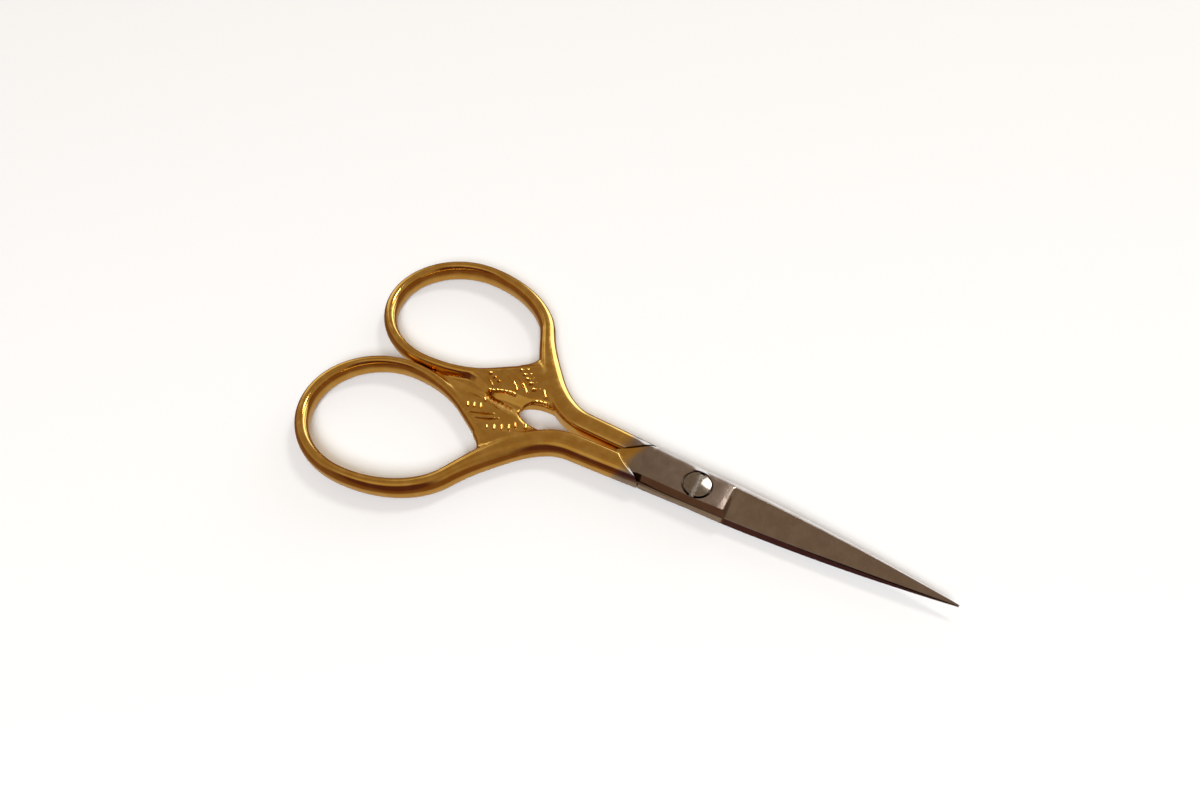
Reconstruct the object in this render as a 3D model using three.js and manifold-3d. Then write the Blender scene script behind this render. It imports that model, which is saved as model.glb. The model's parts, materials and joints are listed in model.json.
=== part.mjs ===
// Embroidery scissors: two forged halves, turned half a turn to each other, and the slotted screw
// that they pivot on. Millimetres. While modelling, the pivot axis is Z through X = Y = 0, X runs
// from the bows to the blade tips, and Z = 0 is the parting plane between the two halves.
// The upper half has its bow on the -Y side.

import * as THREE from 'three';
import * as BufferGeometryUtils from 'three/addons/utils/BufferGeometryUtils.js';
import Module from 'manifold-3d';

const wasm = await Module();
wasm.setup();
const { degToRad, lerp, smoothstep } = THREE.MathUtils;

// Pivot plate and blade
const BLADE_REACH = 38.9;
const PLATE_HALF_WIDTH = 2.9;
const PLATE_REAR_HALF_WIDTH = 3.25;
const PLATE_CORNER = 0.7;
const PLATE_THICKNESS = 1.55;
const BLADE_TAPER_POWER = 1.9;
const TIP_HALF_WIDTH = 0.14;
const TIP_THICKNESS = 0.5;
const EDGE_LAND = 0.12;
const EDGE_SETBACK = 0.15;
const SPINE_BEVEL = 0.35;
const SPINE_BEVEL_SHARE = 0.35;
const HOLLOW_DEPTH = 0.1;
const PLUNGE_START = 4.8;
const PLUNGE_LENGTH = 1.6;

// V shoulder where each shank stops against the plates
const SHOULDER_APEX = 13.1;
const SHOULDER_ANGLE = degToRad(35.4);
const SHOULDER_LAP = 0.5;

// Shank, arm and finger bow: one rod of changing width and height
const HANDLE_HEIGHT = 3.9;
const SHANK_FRONT_WIDTH = 3.1;
const SHANK_BACK_WIDTH = 3.7;
const SHANK_BACK = 19.8;
const SHANK_DRIFT = 0.35;
const ARM_WIDTH = 3.7;
const ARM_WIDEST = 0.5;
const ARM_ROOT_WIDTH = 2.6;
const ARM_ANGLE = degToRad(20);
const ARM_EASE_AT_SHANK = 6.2;
const ARM_EASE_AT_BOW = 5.6;
const BOW_CENTRE_BACK = 48.85;
const BOW_BACK_RADIUS = 12.3;
const BOW_FRONT_RADIUS = 15.9;
const BOW_SIDE_RADIUS = 10.75;
const BOW_OUTER_WIDTH = 2.1;
const BOW_BACK_WIDTH = 2.2;
const BOW_INNER_WIDTH = 1.85;
const BOW_BACK_HEIGHT = 3.5;
const BOW_INNER_HEIGHT = 3.6;
const RIM_ANGLE = degToRad(48);
const RIM_WIDTH = 1.8;
const RIM_HEIGHT = 2.9;
const ROD_ROUNDING = 2.4;

// Web between bow, arm and closing plane, and the window in front of it
const WEB_THICKNESS = 2.5;
const WEB_ANGLE = degToRad(75);
const WEB_ON_ARM = [0.4, 0.2];
const WINDOW_BACK = 30.1;
const WINDOW_ROUND = 3.8;
const WINDOW_HALF_WIDTH = 2.1;
const DRAFT_AT_BOW = 0.8;
const DRAFT_AT_WINDOW = 1.8;
const DRAFT_AT_ARM = 0.5;

// Pivot screw
const SCREW_HEAD_RADIUS = 2.02;
const SCREW_HEAD_HEIGHT = 0.7;
const SCREW_DOME = 0.1;
const SCREW_SHANK_RADIUS = 1.4;
const SCREW_TAIL_RADIUS = 1.15;
const SLOT_WIDTH = 0.55;
const SLOT_DEPTH = 0.42;
const SLOT_TURN = degToRad(84);

// Clearances
const PLATE_GAP = 0.1;
const CLOSING_GAP = 0.12;
const SHOULDER_GAP = 0.25;
const SCREW_CLEARANCE = 0.05;
const SCREW_SEAT_GAP = 0.05;
const HEAD_CLEARANCE = 0.2;

// Finishes
const GILT_STEEL = { color: 0xc8983c, roughness: 0.2, metalness: 1 };
const BARE_STEEL = { color: 0xa8a098, roughness: 0.3, metalness: 1 };

// Facets
const ROD_SIDES = 16;
const SHANK_STEPS = 3;
const ARM_STEPS = 14;
const BOW_STEPS = 46;
const RIM_STEPS = 3;
const WINDOW_STEPS = 4;
const PLUNGE_STEPS = 4;
const BLADE_STEPS = 12;
const ROUND_SIDES = 48;
const DOME_STEPS = 4;

const innerFace = PLATE_GAP / 2;
const plateTop = innerFace + PLATE_THICKNESS;
const closingSide = -CLOSING_GAP / 2;
const shoulderSlope = Math.tan(SHOULDER_ANGLE);

// Closed solid from vertices and triangles, turned so that its faces point out
function solid(vertices, triangles) {
  const shape = new wasm.Manifold(new wasm.Mesh({
    numProp: 3,
    vertProperties: Float32Array.from(vertices),
    triVerts: Uint32Array.from(triangles),
  }));
  return shape.volume() > 0 ? shape : solid(vertices, Array.from(triangles).reverse());
}

// Closed solid of a three.js geometry
function solidOf(geometry) {
  const bare = geometry.clone();
  bare.deleteAttribute('normal');
  bare.deleteAttribute('uv');
  const merged = BufferGeometryUtils.mergeVertices(bare);
  return solid(merged.attributes.position.array, merged.index.array);
}

// Triangles across a convex ring
function fan(ring) {
  return ring.slice(2).map((_, i) => [0, i + 1, i + 2]);
}

// Triangles across a level outline of any form, in the outline's own direction
function fill(ring) {
  const outline = ring.map((p) => new THREE.Vector2(p.x, p.y));
  const faces = THREE.ShapeUtils.triangulateShape([...outline], []);
  const area = (corners) => THREE.ShapeUtils.area(corners.map((i) => outline[i]));
  const sameTurn = area(faces[0]) * THREE.ShapeUtils.area(outline) > 0;
  return sameTurn ? faces : faces.map(([a, b, c]) => [a, c, b]);
}

// Closed solid through rings of equally many points
function loft(rings, cap) {
  const count = rings[0].length;
  const last = (rings.length - 1) * count;
  const triangles = [];
  for (let ring = 0; ring < last; ring += count) {
    for (let i = 0; i < count; i++) {
      const a = ring + i;
      const b = ring + ((i + 1) % count);
      triangles.push(a, b, a + count, b, b + count, a + count);
    }
  }
  for (const [a, b, c] of cap(rings[0])) triangles.push(a, c, b);
  for (const face of cap(rings.at(-1))) triangles.push(...face.map((i) => i + last));
  return solid(rings.flat().flatMap((p) => p.toArray()), triangles);
}

// Value that runs smoothly through [place, value] stops
function through(stops, place) {
  const next = stops.findIndex(([at]) => at >= place);
  if (next === 0) return stops[0][1];
  if (next < 0) return stops.at(-1)[1];
  const [[from, start], [to, end]] = [stops[next - 1], stops[next]];
  return lerp(start, end, smoothstep(place, from, to));
}

// Centre line of the rod: shank, arm, bow, and the straight rim that closes the finger hole.
// Angles about the bow run from its front over the outer side, the back and the inner side.
const rimAngle = 2 * Math.PI - RIM_ANGLE;
const webAngle = 2 * Math.PI - WEB_ANGLE;
const bowCentre = new THREE.Vector2(-BOW_CENTRE_BACK, closingSide - BOW_INNER_WIDTH / 2 - BOW_SIDE_RADIUS);
const shankFront = new THREE.Vector2(0, closingSide - SHANK_FRONT_WIDTH / 2);
const shankBack = new THREE.Vector2(-SHANK_BACK, closingSide - SHANK_DRIFT - SHANK_BACK_WIDTH / 2);

function bowPoint(angle) {
  const along = Math.cos(angle) > 0 ? BOW_FRONT_RADIUS : BOW_BACK_RADIUS;
  return new THREE.Vector2(along * Math.cos(angle), -BOW_SIDE_RADIUS * Math.sin(angle)).add(bowCentre);
}

function bowDirection(angle) {
  const along = Math.cos(angle) > 0 ? BOW_FRONT_RADIUS : BOW_BACK_RADIUS;
  return new THREE.Vector2(-along * Math.sin(angle), -BOW_SIDE_RADIUS * Math.cos(angle)).normalize();
}

const shankLine = new THREE.LineCurve(shankFront, shankBack);
const armLine = new THREE.CubicBezierCurve(
  shankBack,
  shankLine.getTangent(1).multiplyScalar(ARM_EASE_AT_SHANK).add(shankBack),
  bowDirection(ARM_ANGLE).multiplyScalar(-ARM_EASE_AT_BOW).add(bowPoint(ARM_ANGLE)),
  bowPoint(ARM_ANGLE),
);
const rimLine = new THREE.LineCurve(bowPoint(rimAngle), rimMeetsArm());

// Where the rim, straight on from the bow, runs into the arm's centre line
function rimMeetsArm() {
  const start = bowPoint(rimAngle);
  const points = armLine.getPoints(ARM_STEPS);
  const side = (p) => bowDirection(rimAngle).cross(p.clone().sub(start));
  const next = points.findIndex((p, i) => i > 0 && side(p) * side(points[i - 1]) <= 0);
  const share = side(points[next - 1]) / (side(points[next - 1]) - side(points[next]));
  return points[next - 1].clone().lerp(points[next], share);
}

// Rounded section of the rod, square to its centre line
function rodRing(centre, direction, width, height) {
  const sideways = new THREE.Vector2(-direction.y, direction.x);
  const soften = (value) => Math.sign(value) * Math.abs(value) ** (2 / ROD_ROUNDING);
  return Array.from({ length: ROD_SIDES }, (_, i) => {
    const turn = (2 * Math.PI * i) / ROD_SIDES;
    const place = sideways.clone().multiplyScalar((width / 2) * soften(Math.cos(turn))).add(centre);
    return new THREE.Vector3(place.x, place.y, (height / 2) * soften(Math.sin(turn)));
  });
}

function rod() {
  const quarter = Math.PI / 2;
  const armWidths = [[0, SHANK_BACK_WIDTH], [ARM_WIDEST, ARM_WIDTH], [1, ARM_ROOT_WIDTH]];
  const bowWidths = [[ARM_ANGLE, ARM_ROOT_WIDTH], [quarter, BOW_OUTER_WIDTH], [2 * quarter, BOW_BACK_WIDTH],
    [3 * quarter, BOW_INNER_WIDTH], [rimAngle, RIM_WIDTH]];
  const bowHeights = [[quarter, HANDLE_HEIGHT], [2 * quarter, BOW_BACK_HEIGHT],
    [3 * quarter, BOW_INNER_HEIGHT], [rimAngle, RIM_HEIGHT]];
  const rings = [];
  for (let i = 0; i < SHANK_STEPS; i++) {
    const t = i / SHANK_STEPS;
    const width = lerp(SHANK_FRONT_WIDTH, SHANK_BACK_WIDTH, t);
    rings.push(rodRing(shankLine.getPoint(t), shankLine.getTangent(t), width, HANDLE_HEIGHT));
  }
  for (let i = 0; i < ARM_STEPS; i++) {
    const t = i / ARM_STEPS;
    rings.push(rodRing(armLine.getPoint(t), armLine.getTangent(t), through(armWidths, t), HANDLE_HEIGHT));
  }
  for (let i = 0; i <= BOW_STEPS; i++) {
    const angle = lerp(ARM_ANGLE, rimAngle, i / BOW_STEPS);
    const section = [through(bowWidths, angle), through(bowHeights, angle)];
    rings.push(rodRing(bowPoint(angle), bowDirection(angle), ...section));
  }
  return loft(rings, fan);
}

function rim() {
  const rings = [];
  for (let i = 0; i <= RIM_STEPS; i++) {
    rings.push(rodRing(rimLine.getPoint(i / RIM_STEPS), bowDirection(rimAngle), RIM_WIDTH, RIM_HEIGHT));
  }
  return loft(rings, fan);
}

// Web plate: full outline at mid thickness, drawn in at both faces where the forging has draft
function web() {
  const hidden = [webAngle, (webAngle + rimAngle) / 2, rimAngle].map(bowPoint);
  hidden.push(rimLine.v2, ...WEB_ON_ARM.map((place) => armLine.getPoint(place)));
  const drafted = [];
  for (let i = 0; i <= WINDOW_STEPS; i++) {
    const share = i / WINDOW_STEPS;
    const x = -WINDOW_BACK + WINDOW_ROUND * (1 - Math.sin(share * Math.PI / 2));
    const y = closingSide - WINDOW_HALF_WIDTH * Math.cos(share * Math.PI / 2);
    drafted.push([x, y, lerp(DRAFT_AT_ARM, DRAFT_AT_WINDOW, share)]);
  }
  drafted.push([bowPoint(webAngle).x, closingSide, DRAFT_AT_BOW]);
  const level = (z, drawIn) => [
    ...hidden.map((p) => new THREE.Vector3(p.x, p.y, z)),
    ...drafted.map(([x, y, draft]) => new THREE.Vector3(x, y - drawIn * draft, z)),
  ];
  const face = WEB_THICKNESS / 2;
  return loft([level(-face, 1), level(0, 0), level(face, 1)], fill);
}

// What a shank is cut back by: all that lies in front of its shoulder,
// with a facet beside the plate's outer face
function shoulderCut() {
  const outside = plateTop + HANDLE_HEIGHT;
  const profile = new THREE.Shape([
    new THREE.Vector2(0, -plateTop),
    new THREE.Vector2(0, plateTop),
    new THREE.Vector2(-HANDLE_HEIGHT, outside),
    new THREE.Vector2(SHOULDER_APEX, outside),
    new THREE.Vector2(SHOULDER_APEX, -outside),
    new THREE.Vector2(-HANDLE_HEIGHT, -outside),
  ]);
  const geometry = new THREE.ExtrudeGeometry(profile, { depth: 2 * SHOULDER_APEX, bevelEnabled: false });
  const forward = new THREE.Vector3(Math.sin(SHOULDER_ANGLE), Math.cos(SHOULDER_ANGLE), 0);
  const up = new THREE.Vector3(0, 0, 1);
  const along = forward.clone().cross(up);
  const start = new THREE.Vector3(-SHOULDER_APEX, 0, 0).addScaledVector(along, -SHOULDER_APEX);
  return solidOf(geometry.applyMatrix4(new THREE.Matrix4().makeBasis(forward, up, along).setPosition(start)));
}

// What lies past the plane where the two handles meet
function beyondClosing() {
  const reach = BOW_CENTRE_BACK + BOW_BACK_RADIUS + BOW_BACK_WIDTH;
  return solidOf(new THREE.BoxGeometry(2 * reach, reach, reach).translate(0, closingSide + reach / 2, 0));
}

// Pivot plate and blade, lofted along X from the shoulder's apex to the tip
function blade() {
  const apex = -SHOULDER_APEX + SHOULDER_GAP / Math.sin(SHOULDER_ANGLE);
  const corner = apex + PLATE_REAR_HALF_WIDTH / shoulderSlope;
  const edgeHalfWidth = PLATE_HALF_WIDTH - EDGE_SETBACK;
  const lapWidth = SHOULDER_LAP / Math.cos(SHOULDER_ANGLE);
  const lapEnd = -SHOULDER_APEX + (edgeHalfWidth - lapWidth) / shoulderSlope;
  const plungeEnd = PLUNGE_START + PLUNGE_LENGTH;

  const taper = (x) => 1 - (Math.max(x, 0) / BLADE_REACH) ** BLADE_TAPER_POWER;
  const spineSide = (x) => {
    if (x < corner) return Math.max(closingSide, (x - apex) * shoulderSlope);
    if (x < 0) return lerp(PLATE_HALF_WIDTH, PLATE_REAR_HALF_WIDTH, x / corner);
    return lerp(TIP_HALF_WIDTH, PLATE_HALF_WIDTH, taper(x));
  };
  const edgeSide = (x) => {
    if (x < lapEnd) return -(x + SHOULDER_APEX) * shoulderSlope - lapWidth;
    return lerp(0, -edgeHalfWidth, taper(x));
  };
  const section = (x) => {
    const along = Math.max(0, (x - PLUNGE_START) / (BLADE_REACH - PLUNGE_START));
    const top = innerFace + lerp(PLATE_THICKNESS, TIP_THICKNESS, along);
    const edgeTop = lerp(top, innerFace + EDGE_LAND, smoothstep(x, PLUNGE_START, plungeEnd));
    const hollow = HOLLOW_DEPTH * Math.sin(Math.PI * along);
    const [spine, edge] = [spineSide(x), edgeSide(x)];
    const bevel = Math.min(SPINE_BEVEL, SPINE_BEVEL_SHARE * Math.min(spine - edge, top - innerFace));
    const outline = [[edge, innerFace], [(edge + spine) / 2, innerFace + hollow], [spine, innerFace],
      [spine, top - bevel], [spine - bevel, top], [edge, edgeTop]];
    return outline.map(([y, z]) => new THREE.Vector3(x, y, z));
  };

  const places = [-SHOULDER_APEX, apex, lapEnd, corner - PLATE_CORNER, corner + PLATE_CORNER, 0];
  for (let i = 0; i < PLUNGE_STEPS; i++) places.push(PLUNGE_START + (i / PLUNGE_STEPS) * PLUNGE_LENGTH);
  for (let i = 0; i <= BLADE_STEPS; i++) places.push(lerp(plungeEnd, BLADE_REACH, i / BLADE_STEPS));
  places.sort((a, b) => a - b);
  return loft(places.map(section), fan);
}

// Upright round bar about the pivot axis
function bar(radius, bottom, top) {
  const geometry = new THREE.CylinderGeometry(radius, radius, top - bottom, ROUND_SIDES);
  return solidOf(geometry.rotateX(Math.PI / 2).translate(0, 0, (bottom + top) / 2));
}

const headSeat = plateTop - SCREW_HEAD_HEIGHT;
const shankSeat = -innerFace + SCREW_SEAT_GAP;

// One forged half with its hole bored
function half(bores) {
  const handle = rod().add(rim()).add(web()).subtract(beyondClosing()).subtract(shoulderCut());
  return bores.reduce((shape, bore) => shape.subtract(bore), handle.add(blade()));
}

function pivotScrew() {
  const profile = [[0, -plateTop], [SCREW_TAIL_RADIUS, -plateTop], [SCREW_TAIL_RADIUS, shankSeat],
    [SCREW_SHANK_RADIUS, shankSeat], [SCREW_SHANK_RADIUS, headSeat], [SCREW_HEAD_RADIUS, headSeat]];
  for (let i = 0; i <= DOME_STEPS; i++) {
    const out = 1 - i / DOME_STEPS;
    profile.push([SCREW_HEAD_RADIUS * out, plateTop + SCREW_DOME * (1 - out ** 2)]);
  }
  const points = profile.map(([r, z]) => new THREE.Vector2(r, z));
  const body = solidOf(new THREE.LatheGeometry(points, ROUND_SIDES).rotateX(Math.PI / 2));
  const slotLength = 2 * (SCREW_HEAD_RADIUS + HEAD_CLEARANCE);
  const slot = new THREE.BoxGeometry(slotLength, SLOT_WIDTH, 2 * SLOT_DEPTH);
  return body.subtract(solidOf(slot.translate(0, 0, plateTop + SCREW_DOME).rotateZ(SLOT_TURN)));
}

function piece(name, shape, finish) {
  const { vertProperties, triVerts } = shape.getMesh();
  const geometry = new THREE.BufferGeometry();
  geometry.setAttribute('position', new THREE.BufferAttribute(vertProperties, 3));
  geometry.setIndex(new THREE.BufferAttribute(triVerts, 1));
  geometry.computeVertexNormals();
  const mesh = new THREE.Mesh(geometry, new THREE.MeshStandardMaterial(finish));
  mesh.name = name;
  return mesh;
}

const boreReach = HANDLE_HEIGHT;
const upperBores = [
  bar(SCREW_SHANK_RADIUS + SCREW_CLEARANCE, -boreReach, boreReach),
  bar(SCREW_HEAD_RADIUS + HEAD_CLEARANCE, headSeat - SCREW_SEAT_GAP, boreReach),
];
const lowerBores = [bar(SCREW_TAIL_RADIUS + SCREW_CLEARANCE, -boreReach, boreReach)];
const upperHalf = piece('upper_half', half(upperBores), GILT_STEEL);
const lowerHalf = piece('lower_half', half(lowerBores), GILT_STEEL);
lowerHalf.rotation.x = Math.PI;
const screw = piece('pivot_screw', pivotScrew(), BARE_STEEL);

// The finished frame has its origin at the centre of the footprint, on the surface that the scissors lie on
const assembly = new THREE.Group().add(upperHalf, lowerHalf, screw);
const box = new THREE.Box3().setFromObject(assembly, true);
const centre = box.getCenter(new THREE.Vector3());
assembly.position.set(-centre.x, -centre.y, -box.min.z);

export default new THREE.Group().add(assembly);
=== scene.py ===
# %% [markdown]
# # Embroidery scissors
# A pair of small scissors with gilded handles lies closed on a pale table. It is two steel forgings,
# turned half a turn to each other, and the slotted screw that they pivot on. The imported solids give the
# sizes, the places and the joint. This lesson models each forging again with the soft blends, the relief
# and the crisp ground edges that the solids leave out, and gives the metal its finish.

# %% Load the solids
import json
import math

import bpy
from mathutils import Matrix, Vector
from mathutils.bvhtree import BVHTree
from mathutils.geometry import interpolate_bezier, intersect_line_line_2d

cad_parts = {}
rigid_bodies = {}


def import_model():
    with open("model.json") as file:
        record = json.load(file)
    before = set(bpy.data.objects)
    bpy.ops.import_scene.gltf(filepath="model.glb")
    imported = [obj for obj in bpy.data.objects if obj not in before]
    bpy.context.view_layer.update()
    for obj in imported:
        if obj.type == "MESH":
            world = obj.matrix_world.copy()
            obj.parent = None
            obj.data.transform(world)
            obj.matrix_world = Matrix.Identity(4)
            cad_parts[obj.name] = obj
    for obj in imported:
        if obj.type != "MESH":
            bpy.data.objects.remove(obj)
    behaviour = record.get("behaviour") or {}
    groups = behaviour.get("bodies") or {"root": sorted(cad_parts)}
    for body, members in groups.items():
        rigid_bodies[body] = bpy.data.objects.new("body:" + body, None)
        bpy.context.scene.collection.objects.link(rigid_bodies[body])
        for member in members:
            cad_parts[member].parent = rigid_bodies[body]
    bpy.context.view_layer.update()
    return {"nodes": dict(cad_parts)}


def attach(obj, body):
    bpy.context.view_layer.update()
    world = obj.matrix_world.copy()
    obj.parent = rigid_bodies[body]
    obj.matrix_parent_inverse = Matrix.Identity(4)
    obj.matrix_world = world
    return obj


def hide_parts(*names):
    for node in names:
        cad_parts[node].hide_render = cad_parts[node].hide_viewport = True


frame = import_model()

scene = bpy.context.scene
print("solids", sorted(frame["nodes"]))

# %% [markdown]
# ## Camera
# The view looks down on the scissors from the front right, close up with a fairly wide lens, so the bows
# at the back are drawn smaller than the blades at the front. The place, the turn and the lens were found
# by laying the outline of the solids over the photograph.

# %% Camera
CAMERA_PLACE = (0.027236, -0.060617, 0.112892)
DEGREES_DOWN, DEGREES_LEFT = 55.227, 27.555
bpy.ops.object.select_all(action="DESELECT")
bpy.ops.object.camera_add(
    location=CAMERA_PLACE,
    rotation=(math.radians(90 - DEGREES_DOWN), 0, math.radians(DEGREES_LEFT)),
)
camera = bpy.context.object
camera.data.sensor_width = 36
camera.data.lens = 25.56
camera.data.clip_start = 0.001
scene.camera = camera
print("camera", tuple(round(v, 4) for v in camera.location), "lens", camera.data.lens)

# %% [markdown]
# ## Sizes
# Modelling is done in millimetres around the pivot, because edit-mode tools work better on numbers of
# that size. X runs to the blade tips, Z is the pivot axis and z = 0 is the plane between the two blades.
# The upper half has its bow on the -Y side and stops just short of y = 0, where the handles meet. Finished
# pieces are scaled to metres and moved to their place.

# %% Sizes
PIVOT = Vector((0.0116732, 0, 0.00195))
PARTING_FACE, BAR_CLEARANCE = -0.02, 0.06

SHANK_FRONT_WIDTH, SHANK_BACK_WIDTH, SHANK_BACK, SHANK_DRIFT = 3.1, 3.7, 19.8, 0.35
ARM_WIDTH, ARM_ROOT_WIDTH, ARM_ANGLE = 3.7, 2.6, math.radians(20)
ARM_EASE_AT_SHANK, ARM_EASE_AT_BOW = 6.2, 5.6
BOW_FRONT, BOW_BACK, BOW_SIDE = 15.9, 12.3, 10.75
BOW_OUTER_WIDTH, BOW_BACK_WIDTH, BOW_INNER_WIDTH, RIM_WIDTH = 2.1, 2.2, 1.85, 1.8
BOW_CENTRE = Vector((-48.85, -BAR_CLEARANCE - BOW_INNER_WIDTH / 2 - BOW_SIDE, 0))
RIM_ANGLE, WEB_ANGLE = math.radians(360 - 48), math.radians(360 - 82)
HANDLE_HEIGHT, BOW_BACK_HEIGHT, BOW_INNER_HEIGHT = 3.9, 3.5, 3.6
RIM_HEIGHT, RIM_FRONT_HEIGHT = 2.8, 3.3
WEB_FACE, WEB_RISE = 1.25, 0.45
print("bow centre", [round(v, 3) for v in BOW_CENTRE], "mm from the pivot")

# %% [markdown]
# ## Handle path
# Shank, arm, bow and rim are one bar that was forged straight and bent round. Its centre line is a Bezier
# curve: a straight shank, an easy bend along the arm, an egg of two half ellipses for the bow, and a straight
# rim that runs on from the bow until it meets the arm again. Curve handles of the right length follow a
# quarter of an ellipse closely, so eight knots are enough.


# %% Egg of the bow
def bow_radius(angle, side):
    return BOW_FRONT if math.cos(angle + 1e-6 * side) > 0 else BOW_BACK


def bow_point(angle):
    radius = bow_radius(angle, 0)
    return BOW_CENTRE + Vector((radius * math.cos(angle), -BOW_SIDE * math.sin(angle), 0))


def bow_slope(angle, side):
    radius = bow_radius(angle, side)
    return Vector((-radius * math.sin(angle), -BOW_SIDE * math.cos(angle), 0))


def arc_handle(angle, other, side):
    return bow_point(angle) + bow_slope(angle, side) * (4 / 3) * math.tan((other - angle) / 4)


print("bow length", BOW_FRONT + BOW_BACK, "and breadth", 2 * BOW_SIDE)

# %% Arm and rim
RIM_LIMIT = 30
quarter = math.pi / 2
shank_front = Vector((0, -BAR_CLEARANCE - SHANK_FRONT_WIDTH / 2, 0))
shank_back = Vector((-SHANK_BACK, -BAR_CLEARANCE - SHANK_DRIFT - SHANK_BACK_WIDTH / 2, 0))
shank_run = (shank_back - shank_front).normalized()
arm_start = shank_back + shank_run * ARM_EASE_AT_SHANK
arm_end = bow_point(ARM_ANGLE) - bow_slope(ARM_ANGLE, 1).normalized() * ARM_EASE_AT_BOW
arm_points = interpolate_bezier(shank_back, arm_start, arm_end, bow_point(ARM_ANGLE), 200)
rim_start = bow_point(RIM_ANGLE)


def rim_meets_arm():
    far = rim_start + bow_slope(RIM_ANGLE, -1).normalized() * RIM_LIMIT
    for a, b in zip(arm_points, arm_points[1:]):
        hit = intersect_line_line_2d(rim_start.xy, far.xy, a.xy, b.xy)
        if hit:
            return Vector((hit.x, hit.y, 0))


rim_end = rim_meets_arm()
rim_run = (rim_start - rim_end).normalized()
print("rim meets the arm at", [round(v, 2) for v in rim_end])

# %% Knots of the centre line
knots = [
    (shank_front, shank_front.lerp(shank_back, -0.3), shank_front.lerp(shank_back, 0.3)),
    (shank_back, shank_front.lerp(shank_back, 0.7), arm_start),
]
bow_angles = [ARM_ANGLE, quarter, 2 * quarter, 3 * quarter, RIM_ANGLE]
for i, angle in enumerate(bow_angles):
    before = arm_end if angle == ARM_ANGLE else arc_handle(angle, bow_angles[i - 1], -1)
    after = rim_start.lerp(rim_end, 0.3) if angle == RIM_ANGLE else arc_handle(angle, bow_angles[i + 1], 1)
    knots.append((bow_point(angle), before, after))
knots.append((rim_end, rim_start.lerp(rim_end, 0.7), rim_end.lerp(rim_start, -0.3)))
print("knots", len(knots))


# %% Draw the path
def deselect():
    if bpy.context.mode != "OBJECT":
        bpy.ops.object.mode_set(mode="OBJECT")
    bpy.ops.object.select_all(action="DESELECT")


def draw_path(name, knots):
    deselect()
    bpy.ops.curve.primitive_bezier_curve_add(location=(0, 0, 0))
    path = bpy.context.object
    path.name = name
    path.data.dimensions = "2D"
    path.data.resolution_u = 64
    points = path.data.splines[0].bezier_points
    points.add(len(knots) - len(points))
    for point, (place, before, after) in zip(points, knots):
        point.handle_left_type = point.handle_right_type = "FREE"
        point.co, point.handle_left, point.handle_right = place, before, after
    return path


def distances(knots):
    total, stops = 0, [0]
    for (a, _, out), (b, back, _) in zip(knots, knots[1:]):
        run = interpolate_bezier(a, out, back, b, 400)
        total += sum((q - p).length for p, q in zip(run, run[1:]))
        stops.append(total)
    return stops


handle_path = draw_path("handle_path", knots)
handle_stops = distances(knots)
print("handle path", [round(stop, 2) for stop in handle_stops], "mm along it")

# %% [markdown]
# ## Handle bar
# The bar's section is an oval: narrow and tall on the bow, and on the shank and the arm broad, round on the
# outer side and square on the inner side. A curve with a bevel could draw it, but its radius would change
# width and height together. So a round face is extruded straight along X, one short step after another,
# and then each ring of points gets the width, the height and the squareness that the bar has there. A
# Curve modifier bends the bar to the path.


# %% Edit helpers
def pick(*objects):
    deselect()
    for obj in objects:
        obj.select_set(True)
    bpy.context.view_layer.objects.active = objects[0]
    return objects[0]


def extrude(*by):
    bpy.ops.mesh.extrude_region_move(TRANSFORM_OT_translate={"value": by})


def face_outwards(obj):
    pick(obj)
    bpy.ops.object.mode_set(mode="EDIT")
    bpy.ops.mesh.select_all(action="SELECT")
    bpy.ops.mesh.normals_make_consistent(inside=False)
    bpy.ops.object.mode_set(mode="OBJECT")


def finish_with(obj, kind, **settings):
    pick(obj)
    modifier = obj.modifiers.new(kind.title(), kind)
    for name, value in settings.items():
        setattr(modifier, name, value)
    bpy.ops.object.modifier_apply(modifier=modifier.name)


def report(obj):
    low = [min(v.co[i] for v in obj.data.vertices) for i in range(3)]
    high = [max(v.co[i] for v in obj.data.vertices) for i in range(3)]
    size = [round(b - a, 4) for a, b in zip(low, high)]
    print(obj.name, "faces", len(obj.data.polygons), "size", size)


# %% Bar helper
def mix(a, b, t):
    return a + (b - a) * t


def smooth(x, a, b):
    t = min(1, max(0, (x - a) / (b - a)))
    return t * t * (3 - 2 * t)


def between(stops, place):
    for (a, start), (b, end) in zip(stops, stops[1:]):
        if place <= b:
            return mix(start, end, smooth(place, a, b))
    return stops[-1][1]


def squared(share, power):
    return math.copysign(abs(share) ** (2 / power), share)


ROUND, SOFT_SQUARE = [(0, 2)], [(0, 3)]


def straight_bar(name, length, step, widths, heights, outer=ROUND, inner=ROUND, sides=32):
    deselect()
    bpy.ops.mesh.primitive_circle_add(vertices=sides, radius=1, fill_type="NGON", rotation=(0, quarter, 0))
    bar = bpy.context.object
    bar.name = name
    bpy.ops.object.transform_apply(location=False, rotation=True, scale=False)
    bpy.ops.object.mode_set(mode="EDIT")
    bpy.ops.mesh.select_all(action="SELECT")
    count = max(1, round(length / step))
    for i in range(count):
        extrude(length / count, 0, 0)
    face_outwards(bar)
    for vertex in bar.data.vertices:
        place, across, up = vertex.co
        power = between(outer if across > 0 else inner, place)
        vertex.co.y = squared(across, power) * between(widths, place) / 2
        vertex.co.z = squared(up, power) * between(heights, place) / 2
    return bar


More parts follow.
